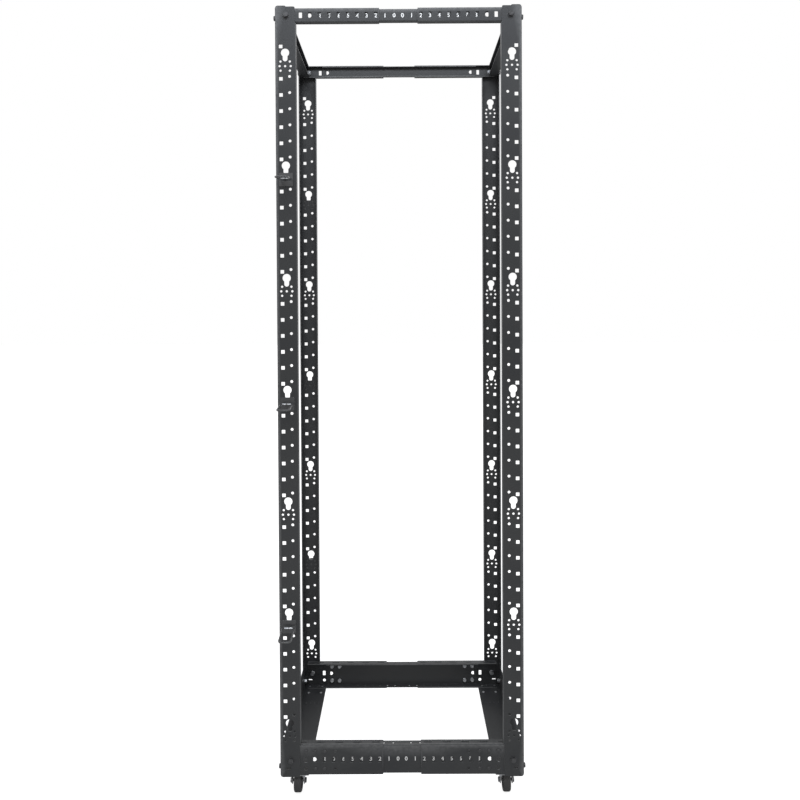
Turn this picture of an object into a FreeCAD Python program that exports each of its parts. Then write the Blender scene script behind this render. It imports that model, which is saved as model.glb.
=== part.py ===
"""Four post open frame rack, 45 units tall, adjustable in depth, on four swivel casters.

Row frame, millimetres: X runs from the rear (-X) to the front (+X), Y from left to right as seen
from the front, Z up from the floor. The origin is on the floor, under the middle of the rack.
"""
import FreeCAD, Part
import math
import os

Vec = FreeCAD.Vector

# ---- overall sizes ----
rack_depth = 682.0            # over the outer faces of the front and rear posts
rack_width = 528.0            # over the outer faces of the two sides
sheet = 2.0                   # steel sheet of posts, rails and beams

# ---- rack unit pattern ----
unit = 44.45                  # one rack unit
unit_count = 45
unit_clearance = 13.0         # bottom rail's top to the first unit
ear_hole = 9.5                # square hole for a cage nut
ear_hole_offsets = (6.35, 22.225, 38.1)
ear_hole_spacing = 465.1      # between the two hole columns, across the width
ear_edge = 7.55               # hole centre to the flange's free edge

# ---- posts ----
post_web = 57.0               # side face of a post, along X
post_return = 20.0            # inner flange, across the width
post_drop = 3.0               # post's foot below the bottom beam's underside
post_rise = 6.5               # post's head above the top rail
post_head_step = 2.5          # the inner half of the head lies lower
post_corner = 8.0             # rounded outer corners
return_gap = 1.5              # end of the inner flange to the rails

# ---- keyholes, one under every seventh unit ----
keyhole_inset = 27.5          # keyholes' middle to the post's outer face
keyhole_first_unit = 1        # unit whose middle is the lowest one's datum, counted from 0
keyhole_step = 7
keyhole_count = 7
keyhole_drop = 17.3           # datum to the round end's centre
keyhole_radius = 11.5
keyhole_slot_half = 6.7
keyhole_length = 41.0         # datum to the bottom of the slot
keyhole_round_sides = 8
keyhole_end_sides = 2

# ---- telescopic depth rails ----
bottom_rail_height = 84.5
bottom_rail_flange = 26.0
top_rail_height = 39.0
top_rail_flange = 17.0
rail_end_inset = 15.0         # rail end to the post's outer face
rail_gap_half = 53.2          # half the stretch of middle section that shows
middle_half = 262.0           # half the length of the middle section
middle_clearance = 0.4        # between nested sections, each side

# ---- cross beams ----
bottom_beam_height = 78.0
bottom_beam_flange = 77.0
top_beam_flange = 32.0
top_beam_clearance = 0.5      # inside the top rail's flanges

# ---- bolts through the posts' flanges into the beams ----
flange_bolt_inset = 14.0      # to the rack's side face
flange_bolt_low = 21.0        # above the bottom beam's underside
flange_bolt_high = 24.0       # below the top rail's top
flange_bolt_across = 13.0
flange_bolt_head = 5.3

# ---- cable rings ----
ring_unit_steps = (7, 21, 35)  # units above the lowest keyhole datum
ring_plate_drop = 37.8        # keyhole datum to the plate's top edge
ring_plate_width = 38.0
ring_plate_height = 37.0
ring_drop = 54.0              # keyhole datum to the middle of the loop's bar
ring_bar = 5.0
ring_width = 37.0
ring_reach = 92.0             # from the post's side face
ring_corner = 12.0
ring_tilt = 6.0               # degrees, the loop's outer end lies lower

# ---- casters ----
caster_plate = 60.0
caster_plate_thick = 3.0
caster_inset_x = 43.0         # plate's middle to the post's outer face
caster_side_gap = 4.0         # plate's edge to the inside of the post's side face
caster_trail = 22.0
wheel_radius = 31.0
wheel_width = 22.0
wheel_chamfer = 3.0
bore_play = 0.08              # wheel bore on its axle
axle_radius = 4.0
axle_play = 0.05              # axle in the fork's legs
nut_across = 13.0
nut_height = 4.5
leg_inner_half = 15.8
leg_thick = 2.5
leg_width_top = 38.0
leg_width_bottom = 20.0
leg_below_axle = 10.0
crown_gap = 3.0               # wheel to crown
crown_thick = 2.5
race_radius = 20.0
race_height = 6.2             # of the cup under the plate
race_play = 0.3               # under the race, where the balls roll

# ---- sides of the small round pieces, few because they repeat ----
wheel_sides = 24
race_sides = 12
shank_sides = 12
hole_sides = 8

# ---- worked out ----
half_depth = rack_depth / 2
half_width = rack_width / 2
crown_bottom = 2 * wheel_radius + crown_gap
crown_top = crown_bottom + crown_thick
race_bottom = crown_top + race_play
plate_bottom = race_bottom + race_height
caster_height = plate_bottom + caster_plate_thick   # floor to the underside of the bottom beams
side_inner = half_width - sheet               # inner face of the posts' side webs
post_bottom = caster_height - post_drop
rail_bottom = caster_height + sheet           # rails stand on the beams' bottom flanges
rail_top = rail_bottom + bottom_rail_height
unit_bottom = rail_top + unit_clearance
unit_top = unit_bottom + unit_count * unit
top_rail_bottom = unit_top
top_rail_top = top_rail_bottom + top_rail_height
post_top = top_rail_top + post_rise
ear_flange = half_width - ear_hole_spacing / 2 + ear_edge
post_middle = half_depth - keyhole_inset      # X of the keyholes
keyhole_datum = unit_bottom + (keyhole_first_unit + 0.5) * unit
rail_end = half_depth - rail_end_inset
ear_inner = half_depth - sheet                # inner face of the slotted front and rear flanges
caster_x = half_depth - caster_inset_x
caster_y = side_inner - caster_side_gap - caster_plate / 2
wheel_y = caster_y - caster_trail
leg_outer_half = leg_inner_half + leg_thick

ENDS = (("front", 1), ("rear", -1))
SIDES = (("left", -1), ("right", 1))

os.makedirs("parts", exist_ok=True)


def save(name, shape, count=1):
    """Write one node, after checking that it holds the wanted number of good solids."""
    if len(shape.Solids) != count or not shape.isValid():
        raise ValueError(name + " does not hold the solids it should")
    whole = shape.Solids[0] if count == 1 else shape
    whole.exportStep("parts/" + name + ".step")


def block(x0, x1, y0, y1, z0, z1):
    """A box between two corners."""
    return Part.makeBox(x1 - x0, y1 - y0, z1 - z0, Vec(x0, y0, z0))


def placed(shape, end, side):
    """Mirror a piece from the +X +Y corner to the wanted end and side."""
    if end < 0:
        shape = shape.mirror(Vec(0, 0, 0), Vec(1, 0, 0))
    if side < 0:
        shape = shape.mirror(Vec(0, 0, 0), Vec(0, 1, 0))
    return shape


def pierced(outline, holes, depth):
    """A flat plate: an outline with holes in it, given its thickness."""
    face = Part.makeFace([outline] + holes, "Part::FaceMakerBullseye")
    return face.extrude(depth)


def square_wire_yz(x, y, z, size):
    """A square hole in a plate that faces along X."""
    h = size / 2
    corners = [Vec(x, y - h, z - h), Vec(x, y + h, z - h), Vec(x, y + h, z + h), Vec(x, y - h, z + h)]
    return Part.makePolygon(corners + corners[:1])


def keyhole_wire(x, y, datum):
    """A keyhole in a plate that faces along Y: round above, a slot with a round end below."""
    centre_z = datum - keyhole_drop
    end_z = datum - keyhole_length + keyhole_slot_half
    mouth = math.asin(keyhole_slot_half / keyhole_radius)
    sweep = 2 * math.pi - 2 * mouth
    points = []
    for i in range(keyhole_round_sides + 1):
        angle = mouth + sweep * i / keyhole_round_sides
        across = keyhole_radius * math.sin(angle)
        down = keyhole_radius * math.cos(angle)
        points.append(Vec(x - across, y, centre_z - down))
    for i in range(keyhole_end_sides + 1):
        angle = math.pi * i / keyhole_end_sides
        across = keyhole_slot_half * math.cos(angle)
        down = keyhole_slot_half * math.sin(angle)
        points.append(Vec(x + across, y, end_z - down))
    return Part.makePolygon(points + points[:1])


def post_web_plate():
    """The side face of a post, with its rounded outer corners and its row of keyholes."""
    y = half_width
    x0 = half_depth - post_web
    x1 = half_depth
    r = post_corner
    low = post_bottom
    high = post_top
    lower = high - post_head_step
    mid = r * (1 - math.sqrt(0.5))
    edges = [
        Part.makeLine(Vec(x0, y, low), Vec(x1 - r, y, low)),
        Part.Arc(Vec(x1 - r, y, low), Vec(x1 - mid, y, low + mid), Vec(x1, y, low + r)).toShape(),
        Part.makeLine(Vec(x1, y, low + r), Vec(x1, y, high - r)),
        Part.Arc(Vec(x1, y, high - r), Vec(x1 - mid, y, high - mid), Vec(x1 - r, y, high)).toShape(),
        Part.makeLine(Vec(x1 - r, y, high), Vec(post_middle, y, high)),
        Part.makeLine(Vec(post_middle, y, high), Vec(post_middle, y, lower)),
        Part.makeLine(Vec(post_middle, y, lower), Vec(x0, y, lower)),
        Part.makeLine(Vec(x0, y, lower), Vec(x0, y, low)),
    ]
    keyholes = []
    for i in range(keyhole_count):
        keyholes.append(keyhole_wire(post_middle, y, keyhole_datum + i * keyhole_step * unit))
    return pierced(Part.Wire(edges), keyholes, Vec(0, -sheet, 0))


def post_ear_flange():
    """The flange that carries the equipment: its plain foot, its pierced units and its plain head."""
    holes = []
    for u in range(unit_count):
        for offset in ear_hole_offsets:
            z = unit_bottom + u * unit + offset
            holes.append(square_wire_yz(half_depth, ear_hole_spacing / 2, z, ear_hole))
    foot = flange_stretch(post_bottom + post_corner, unit_bottom, [])
    units = flange_stretch(unit_bottom, unit_top, holes)
    head = flange_stretch(unit_top, post_top - post_corner, [])
    return [foot, units, head]


def flange_stretch(low, high, holes):
    """A stretch of the slotted flange between two heights."""
    y0 = half_width - ear_flange
    corners = [Vec(half_depth, y0, low), Vec(half_depth, side_inner, low),
               Vec(half_depth, side_inner, high), Vec(half_depth, y0, high)]
    return pierced(Part.makePolygon(corners + corners[:1]), holes, Vec(-sheet, 0, 0))


def post():
    """One post: a web with two flanges, bent from one sheet."""
    x0 = half_depth - post_web
    inner = block(x0, x0 + sheet, half_width - post_return, side_inner,
                  rail_top + return_gap, top_rail_bottom - return_gap)
    # left unmerged, so that the face the equipment rests on ends below and above the bolt heads
    return post_web_plate().fuse(post_ear_flange() + [inner])


def channel(x0, x1, outer_y, flange, z0, z1):
    """A C section along X: its web at outer_y, its two flanges pointing into the rack."""
    tip = outer_y - flange
    inner_y = outer_y - sheet
    corners = [Vec(x0, outer_y, z0), Vec(x0, outer_y, z1), Vec(x0, tip, z1), Vec(x0, tip, z1 - sheet),
               Vec(x0, inner_y, z1 - sheet), Vec(x0, inner_y, z0 + sheet), Vec(x0, tip, z0 + sheet),
               Vec(x0, tip, z0)]
    face = Part.Face(Part.makePolygon(corners + corners[:1]))
    return face.extrude(Vec(x1 - x0, 0, 0))


def outer_section(flange, z0, z1):
    """The half of a rail that is bolted to a post."""
    return channel(rail_gap_half, rail_end, side_inner, flange, z0, z1)


def middle_section(flange, z0, z1):
    """The section that slides inside both halves of a rail."""
    step = sheet + middle_clearance
    return channel(-middle_half, middle_half, side_inner - step, flange - step, z0 + step, z1 - step)


def bottom_beam():
    """Front or rear bottom beam: a web behind the posts' flanges and a wide foot for the casters."""
    x0 = ear_inner
    z0 = caster_height
    z1 = z0 + bottom_beam_height
    corners = [(x0, z0), (x0, z1), (x0 - sheet, z1), (x0 - sheet, z0 + sheet),
               (x0 - bottom_beam_flange, z0 + sheet), (x0 - bottom_beam_flange, z0)]
    return beam(corners, side_inner)


def top_beam():
    """Front or rear top beam: a C section whose ends lie inside the top rails."""
    x0 = ear_inner
    x1 = x0 - top_beam_flange
    z0 = top_rail_bottom + sheet + top_beam_clearance
    z1 = top_rail_top - sheet - top_beam_clearance
    corners = [(x0, z0), (x0, z1), (x1, z1), (x1, z1 - sheet),
               (x0 - sheet, z1 - sheet), (x0 - sheet, z0 + sheet), (x1, z0 + sheet), (x1, z0)]
    return beam(corners, side_inner - sheet)


def beam(corners, half_length):
    """A bent section in X and Z, run across the rack."""
    points = [Vec(x, -half_length, z) for x, z in corners]
    face = Part.Face(Part.makePolygon(points + points[:1]))
    return face.extrude(Vec(0, 2 * half_length, 0))


def flange_bolts():
    """The four hexagon heads on the outside of the front or rear flanges."""
    heads = []
    for z in (caster_height + flange_bolt_low, top_rail_top - flange_bolt_high):
        for side_name, side in SIDES:
            y = side * (half_width - flange_bolt_inset)
            outline = closed(ring_points(half_depth, y, z, flange_bolt_across / 2, 6))
            heads.append(Part.Face(outline).extrude(Vec(flange_bolt_head, 0, 0)))
    return Part.makeCompound(heads)


def loop_outline(half, y0, y1, corner):
    """A flat U shape: open at y0, with its two corners at y1 cut straight."""
    points = [Vec(-half, y0, 0), Vec(half, y0, 0), Vec(half, y1 - corner, 0), Vec(half - corner, y1, 0),
              Vec(corner - half, y1, 0), Vec(-half, y1 - corner, 0)]
    return Part.Face(Part.makePolygon(points + points[:1]))


def cable_ring(datum):
    """A small plate on the post's side face with a loop standing out of it, tilted a little down."""
    y0 = half_width
    y1 = half_width + ring_reach
    top = datum - ring_plate_drop
    half = ring_plate_width / 2
    plate = block(post_middle - half, post_middle + half, y0, y0 + sheet, top - ring_plate_height, top)
    outer = loop_outline(ring_width / 2, y0, y1, ring_corner)
    inner = loop_outline(ring_width / 2 - ring_bar, y0, y1 - ring_bar, ring_corner - ring_bar / 2)
    bar = outer.cut(inner).extrude(Vec(0, 0, ring_bar))
    bar.translate(Vec(post_middle, 0, datum - ring_drop - ring_bar / 2))
    bar.rotate(Vec(post_middle, y0 + sheet, datum - ring_drop), Vec(1, 0, 0), -ring_tilt)
    bar = bar.cut(block(-half_depth, half_depth, 0, half_width + sheet / 2, datum - 2 * ring_drop, datum))
    return plate.fuse(bar).removeSplitter()


def ring_points(x, y, z, flat_radius, sides):
    """A regular outline about an axis along X, with a flat side down; flat_radius reaches the flats."""
    reach = flat_radius / math.cos(math.pi / sides)
    points = []
    for i in range(sides):
        angle = 2 * math.pi * (i + 0.5) / sides
        points.append(Vec(x, y + reach * math.sin(angle), z - reach * math.cos(angle)))
    return points


def closed(points):
    """A closed outline through some points."""
    return Part.makePolygon(points + points[:1])


def rod(x0, length, flat_radius, sides):
    """A straight rod or hole about the wheel's axis."""
    face = Part.Face(closed(ring_points(x0, wheel_y, wheel_radius, flat_radius, sides)))
    return face.extrude(Vec(length, 0, 0))


def caster_mount():
    """The plate under the beam, with the cup of the ball race below it."""
    half = caster_plate / 2
    plate = block(caster_x - half, caster_x + half, caster_y - half, caster_y + half,
                  plate_bottom, caster_height)
    points = []
    for i in range(race_sides):
        angle = 2 * math.pi * i / race_sides
        points.append(Vec(caster_x + race_radius * math.cos(angle), caster_y + race_radius * math.sin(angle),
                          race_bottom))
    cup = Part.Face(closed(points)).extrude(Vec(0, 0, plate_bottom - race_bottom))
    return plate.fuse(cup).removeSplitter()


def fork_leg(x0):
    """One leg of a fork: wide at the crown, narrow at the axle."""
    half_top = leg_width_top / 2
    half_low = leg_width_bottom / 2
    low = wheel_radius - leg_below_axle
    points = [Vec(x0, caster_y - half_top, crown_bottom), Vec(x0, caster_y + half_top, crown_bottom),
              Vec(x0, wheel_y + half_low, wheel_radius), Vec(x0, wheel_y + half_low / 2, low),
              Vec(x0, wheel_y - half_low / 2, low), Vec(x0, wheel_y - half_low, wheel_radius)]
    leg = Part.Face(closed(points)).extrude(Vec(leg_thick, 0, 0))
    return leg.cut(rod(x0, leg_thick, axle_radius + axle_play, hole_sides))


def caster_fork():
    """The swivelling fork: a crown over the wheel and two legs down to the axle."""
    half = leg_width_top / 2
    crown = block(caster_x - leg_outer_half, caster_x + leg_outer_half, caster_y - half, caster_y + half,
                  crown_bottom, crown_top)
    inner_leg = fork_leg(caster_x - leg_outer_half)
    outer_leg = fork_leg(caster_x + leg_inner_half)
    return crown.fuse([inner_leg, outer_leg]).removeSplitter()


def caster_wheel():
    """The wheel: a straight tread between two chamfers, bored for its axle."""
    half = wheel_width / 2
    rim = wheel_radius - wheel_chamfer
    stations = [(-half, rim), (-half + wheel_chamfer, wheel_radius),
                (half - wheel_chamfer, wheel_radius), (half, rim)]
    outlines = []
    for x, radius in stations:
        outlines.append(closed(ring_points(caster_x + x, wheel_y, wheel_radius, radius, wheel_sides)))
    wheel = Part.makeLoft(outlines, True, True)
    return wheel.cut(rod(caster_x - half, wheel_width, axle_radius + bore_play, hole_sides))


def caster_axle():
    """The bolt through the fork and the wheel, with its head and its nut."""
    shank_flat = axle_radius * math.cos(math.pi / shank_sides)
    shank = rod(caster_x - leg_outer_half, 2 * leg_outer_half, shank_flat, shank_sides)
    head = rod(caster_x - leg_outer_half - nut_height, nut_height, nut_across / 2, 6)
    nut = rod(caster_x + leg_outer_half, nut_height, nut_across / 2, 6)
    return shank.fuse([head, nut]).removeSplitter()


# ---- the pieces ----
for end_name, end in ENDS:
    for side_name, side in SIDES:
        where = end_name + "_" + side_name
        save(where + "_post", placed(post(), end, side))
        low_rail = outer_section(bottom_rail_flange, rail_bottom, rail_top)
        high_rail = outer_section(top_rail_flange, top_rail_bottom, top_rail_top)
        save("bottom_rail_" + where, placed(low_rail, end, side))
        save("top_rail_" + where, placed(high_rail, end, side))
        save("caster_mount_" + where, placed(caster_mount(), end, side))
        save("caster_fork_" + where, placed(caster_fork(), end, side))
        save("caster_wheel_" + where, placed(caster_wheel(), end, side))
        save("caster_axle_" + where, placed(caster_axle(), end, side))
    save("bottom_beam_" + end_name, placed(bottom_beam(), end, 1))
    save("top_beam_" + end_name, placed(top_beam(), end, 1))
    save("flange_bolts_" + end_name, placed(flange_bolts(), end, 1), 4)

for side_name, side in SIDES:
    save("bottom_rail_middle_" + side_name,
         placed(middle_section(bottom_rail_flange, rail_bottom, rail_top), 1, side))
    save("top_rail_middle_" + side_name,
         placed(middle_section(top_rail_flange, top_rail_bottom, top_rail_top), 1, side))
    for number, steps in enumerate(ring_unit_steps, 1):
        ring = placed(cable_ring(keyhole_datum + steps * unit), -1, side)
        save("cable_ring_" + side_name + "_" + str(number), ring)
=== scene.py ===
# %% [markdown]
# A four post open frame rack is nearly all sheet steel: posts, rails and beams are cut flat by a
# punch, folded along straight lines, and then powder coated. So this lesson makes them the same
# way. Holes go into a flat pattern, the pattern is folded, and the coating is a material.
#
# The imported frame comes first. Each piece is placed and sized from its boxes, in metres, so it
# lands where the engineering model says. Holes and bolts then follow named sizes.

# %% load the frame and measure it
import math

import bmesh
import bpy
from mathutils import Euler, Matrix, Vector
from mathutils.geometry import delaunay_2d_cdt


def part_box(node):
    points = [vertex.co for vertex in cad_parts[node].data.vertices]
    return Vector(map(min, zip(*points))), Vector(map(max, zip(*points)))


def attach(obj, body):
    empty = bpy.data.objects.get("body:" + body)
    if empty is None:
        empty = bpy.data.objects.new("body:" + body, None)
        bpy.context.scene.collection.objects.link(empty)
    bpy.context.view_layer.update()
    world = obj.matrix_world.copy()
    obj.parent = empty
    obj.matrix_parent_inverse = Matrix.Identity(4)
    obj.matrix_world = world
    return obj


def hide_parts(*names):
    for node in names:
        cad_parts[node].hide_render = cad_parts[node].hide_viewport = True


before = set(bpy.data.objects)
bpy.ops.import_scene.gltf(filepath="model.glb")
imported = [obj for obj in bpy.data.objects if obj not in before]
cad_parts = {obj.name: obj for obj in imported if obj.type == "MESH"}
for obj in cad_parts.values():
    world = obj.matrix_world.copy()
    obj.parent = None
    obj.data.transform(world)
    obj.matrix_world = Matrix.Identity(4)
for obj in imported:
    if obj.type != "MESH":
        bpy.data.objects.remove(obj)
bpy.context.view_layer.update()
MM = 0.001

ROOT = "rack_frame"
ENDS = (("front", 1), ("rear", -1))
SIDES = (("left", -1), ("right", 1))
CORNERS = [(end + "_" + side, sx, sy) for end, sx in ENDS for side, sy in SIDES]

post_lo, post_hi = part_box("front_right_post")
low_rail_lo, low_rail_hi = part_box("bottom_rail_front_right")
top_rail_lo, top_rail_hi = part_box("top_rail_front_right")
low_mid_lo, low_mid_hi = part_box("bottom_rail_middle_right")
top_mid_lo, top_mid_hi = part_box("top_rail_middle_right")
foot_lo, foot_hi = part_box("bottom_beam_front")
head_lo, head_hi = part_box("top_beam_front")

# %% [markdown]
# Rack equipment follows one standard everywhere: a unit is 44.45 mm tall, with three square holes
# in each. The side face of a post repeats on the same step, so a few named sizes place every hole.

# %% sizes of the hole pattern
SHEET = 2.0 * MM
UNIT = 44.45 * MM
UNITS = 45
UNIT_START = low_rail_hi.z + 13.0 * MM
EAR_ROWS = (6.35 * MM, 22.225 * MM, 38.1 * MM)
EAR_HOLE = 9.5 * MM
EAR_COLUMN = 465.1 * MM / 2

SIDE_ROWS = 43                   # rows of side holes, counted down from the top
SIDE_TOP = UNIT_START + 43.5 * UNIT
SIDE_SQUARE = 10.0 * MM
SIDE_ROUND = 4.0 * MM            # radius
SQUARE_LINE = post_hi.x - 15.5 * MM
ROUND_LINE = post_hi.x - 39.5 * MM
ROUND_RISE = 6.3 * MM            # round holes sit a little above the squares
POST_MIDDLE = post_hi.x - 27.5 * MM
KEYHOLE_STEP = 7                 # one keyhole every seven units
END_SLOT_Z = 98.0 * MM           # height of the slots at the rack's corners
print("first unit starts", round(UNIT_START, 4), "m above the floor")

# %% [markdown]
# A punched hole is a closed loop of points in the flat pattern. Small helpers give the loops a
# sheet metal shop uses: a square with slightly rounded corners, a circle, a slot with round ends,
# and a keyhole that a headed stud drops into. Each loop is a plain list, easy to move or count.

# %% loops for punched holes
def arc(cu, cv, radius, start, end, steps):
    """Points along an arc, angles in degrees."""
    points = []
    for i in range(steps + 1):
        angle = math.radians(start + (end - start) * i / steps)
        points.append((cu + radius * math.cos(angle), cv + radius * math.sin(angle)))
    return points


def round_hole(cu, cv, radius, sides=16):
    """A circle."""
    return arc(cu, cv, radius, 0, 360 - 360 / sides, sides - 1)


def window(cu, cv, width, height, corner=0.8 * MM, steps=2):
    """A rectangle with rounded corners."""
    du = width / 2 - corner
    dv = height / 2 - corner
    points = []
    for start, su, sv in ((0, 1, 1), (90, -1, 1), (180, -1, -1), (270, 1, -1)):
        points += arc(cu + su * du, cv + sv * dv, corner, start, start + 90, steps)
    return points


def slot(cu, cv, width, height, steps=6):
    """A slot with round ends, along its longer side."""
    corner = min(width, height) / 2 - 0.01 * MM
    return window(cu, cv, width, height, corner, steps)


def keyhole(cu, cv, radius, half_slot, drop):
    """Round above, with a slot below that ends in a half circle, drop under the centre."""
    mouth = math.degrees(math.asin(half_slot / radius))
    points = arc(cu, cv, radius, -90 + mouth, 270 - mouth, 24)
    return points + arc(cu, cv - drop + half_slot, half_slot, 180, 360, 10)


print("a keyhole has", len(keyhole(0, 0, 11.5, 6.7, 24)), "points")

# %% [markdown]
# Folding is a mapping. A pattern has an across position u, a length position v, and a depth w
# into the sheet. Along a flat part, u runs straight. Along a fold, u runs round an arc, and a
# point deeper in the sheet has a smaller radius. Extra lines at each fold give the arc its steps.
#
# The pattern is triangulated once with its holes left out. It could be cut with booleans, but
# hundreds of cuts are slow and leave ragged faces. Each rim gets a narrow chamfer, because a
# coated edge is never sharp, and the rim is marked so that the coating can look thinner and paler
# there, partly as thin coat and partly as a painted highlight. The lines along each bend carry the
# same mark as a painted highlight of the fold.

# %% fold a flat pattern into a channel
FOLD_STEPS = 6
RIM = 0.25 * MM
BEND_HIGHLIGHT = 0.8                  # strength of the painted highlight along a bend, where a cut edge has 1


class Channel:
    """A folded sheet: first flange, web and, if it has one, second flange, measured outside."""

    def __init__(self, first, web, second=None, radius=2.2 * MM):
        self.first = first
        self.web = web
        self.radius = radius
        self.arc = math.pi * radius / 2
        self.fold_1 = first - radius
        self.fold_2 = self.fold_1 + self.arc + web - 2 * radius
        self.folds = (self.fold_1, self.fold_2)
        self.width = self.fold_2 + self.arc + (second or 0) - radius
        if second is None:
            self.folds = (self.fold_1,)
            self.width = self.fold_2 + radius

    def on_first(self, b):
        """Across position of a point on the first flange, b inward from the web's face."""
        return self.first - b

    def on_web(self, a):
        """Across position of a point on the web, a along it from the first fold's corner."""
        return self.fold_1 + self.arc + a - self.radius

    def on_second(self, b):
        """Across position of a point on the second flange, b inward from the web's face."""
        return self.fold_2 + self.arc + b - self.radius

    def fold_lines(self):
        """Where the pattern is divided so that it can bend, with one line beside each fold."""
        lines = []
        for start in self.folds:
            lines.append(start - 0.5 * MM)
            for i in range(FOLD_STEPS + 1):
                lines.append(start + self.arc * i / FOLD_STEPS)
            lines.append(start + self.arc + 0.5 * MM)
        return lines

    def folded(self, u, w):
        """Where a point of the pattern lies after folding: a along the web, b inward from it."""
        r = self.radius
        if u <= self.fold_1:
            return w, self.first - u
        if u < self.fold_1 + self.arc:
            angle = (u - self.fold_1) / r
            return r - (r - w) * math.cos(angle), r - (r - w) * math.sin(angle)
        if u <= self.fold_2 or len(self.folds) == 1:
            return r + u - self.fold_1 - self.arc, w
        if u < self.fold_2 + self.arc:
            angle = (u - self.fold_2) / r
            return self.web - r + (r - w) * math.sin(angle), r - (r - w) * math.cos(angle)
        return self.web - w, r + u - self.fold_2 - self.arc


def inside(point, loops):
    """Even and odd rule: inside the outline and not in a hole."""
    x, y = point
    hit = False
    for loop in loops:
        x0, y0 = loop[-1]
        for x1, y1 in loop:
            if (y0 > y) != (y1 > y) and x < x0 + (y - y0) * (x1 - x0) / (y1 - y0):
                hit = not hit
            x0, y0 = x1, y1
    return hit


def triangulate(loops, lines):
    """Triangles that fill a pattern around its holes, divided along the fold lines."""
    points = []
    edges = []
    for loop in loops:
        start = len(points)
        points += [Vector(p) for p in loop]
        edges += [(start + i, start + (i + 1) % len(loop)) for i in range(len(loop))]
    low = min(p.y for p in points) - 1 * MM
    high = max(p.y for p in points) + 1 * MM
    for u in lines:
        edges.append((len(points), len(points) + 1))
        points += [Vector((u, low)), Vector((u, high))]
    flat, _, faces, _, _, _ = delaunay_2d_cdt(points, edges, [], 0, 1e-7)
    # a row of boxes finds quickly which loops can hold a triangle's middle
    boxes = [(min(p[0] for p in q), max(p[0] for p in q), min(p[1] for p in q), max(p[1] for p in q), q)
             for q in loops]
    kept = []
    for face in faces:
        x = sum(flat[i][0] for i in face) / len(face)
        y = sum(flat[i][1] for i in face) / len(face)
        near = [q for x0, x1, y0, y1, q in boxes if x0 < x < x1 and y0 < y < y1]
        if near and inside((x, y), near):
            kept.append(list(face))
    return flat, kept


def rims(flat, faces):
    """Rim edges of a pattern, and how far each rim point steps inward for the chamfer."""
    uses = {}
    for face in faces:
        for i, a in enumerate(face):
            b = face[(i + 1) % len(face)]
            uses[(a, b)] = uses.get((a, b), 0) + 1
    edges = [(a, b) for (a, b) in uses if (b, a) not in uses]
    normals = {}
    for a, b in edges:
        along = (flat[b] - flat[a]).normalized()
        for i in (a, b):
            normals.setdefault(i, []).append(Vector((-along.y, along.x)))
    steps = {}
    for i, pair in normals.items():
        n0, n1 = pair[0], pair[-1]
        steps[i] = (n0 + n1) * (RIM / max(0.4, 1 + n0.dot(n1)))
    return edges, steps


def make_sheet(name, loops, lines, place, thickness=SHEET):
    """Build the closed solid of a pattern; place turns (u, v, depth) into a point in the rack."""
    flat, faces = triangulate(loops, lines)
    edges, steps = rims(flat, faces)
    mesh_builder = bmesh.new()
    # one mark for the pale rims, partly thin coat and partly painted highlight, and for the painted
    # highlight along bends
    rim_and_highlight_mark = mesh_builder.verts.layers.float.new("rim")
    face_top = {}
    face_low = {}
    rim_top = {}
    rim_low = {}
    used = sorted({i for face in faces for i in face})
    # the lines with a painted highlight: half of the first bend, and both sides of the second
    highlight_bend_lines = [line for k, line in enumerate(lines) if k % (FOLD_STEPS + 1) in (2, 3, 4)]
    for i in used:
        u, v = flat[i]
        on_highlight_line = any(abs(u - line) < 0.02 * MM for line in highlight_bend_lines)
        if i in steps:
            rim_top[i] = mesh_builder.verts.new(place(u, v, RIM))
            rim_low[i] = mesh_builder.verts.new(place(u, v, thickness - RIM))
            # a cut rim: the coating is thin here, and the mark also paints a highlight on it
            rim_top[i][rim_and_highlight_mark] = 1.0
            rim_low[i][rim_and_highlight_mark] = 1.0
            u += steps[i].x
            v += steps[i].y
        face_top[i] = mesh_builder.verts.new(place(u, v, 0.0))
        face_low[i] = mesh_builder.verts.new(place(u, v, thickness))
        # a painted highlight along a bend, kept in the same mark as the rims
        if on_highlight_line:
            face_top[i][rim_and_highlight_mark] = BEND_HIGHLIGHT
    for face in faces:
        mesh_builder.faces.new([face_top[i] for i in face])
        mesh_builder.faces.new([face_low[i] for i in reversed(face)])
    for a, b in edges:
        for upper, lower in ((face_top, rim_top), (rim_top, rim_low), (rim_low, face_low)):
            mesh_builder.faces.new((upper[b], upper[a], lower[a], lower[b]))
    bmesh.ops.recalc_face_normals(mesh_builder, faces=mesh_builder.faces)
    mesh = bpy.data.meshes.new(name)
    mesh_builder.to_mesh(mesh)
    mesh_builder.free()
    return finish_mesh(mesh)


def finish_mesh(mesh, angle=38):
    """Smooth shading, with a sharp line wherever two faces meet at more than the angle."""
    mesh.shade_smooth()
    mesh.set_sharp_from_angle(angle=math.radians(angle))
    return mesh


def rectangle(u0, u1, v0, v1):
    """The plain outline of a pattern."""
    return [(u0, v0), (u1, v0), (u1, v1), (u0, v1)]


def mirrored(mesh, name, sx, sy):
    """A copy of a front right mesh for another corner of the rack."""
    copy = mesh.copy()
    copy.name = name
    copy.transform(Matrix.Diagonal((sx, sy, 1, 1)))
    if sx * sy < 0:
        copy.flip_normals()
    return copy


def add_piece(name, mesh, material, body, *nodes):
    """Put a mesh in the scene, give it its material, and say what it moves with and replaces."""
    piece = bpy.data.objects.new(name, mesh)
    bpy.context.scene.collection.objects.link(piece)
    mesh.materials.clear()
    mesh.materials.append(material)
    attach(piece, body)
    if nodes:
        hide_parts(*nodes)
    return piece


print("fold helpers ready")
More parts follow.
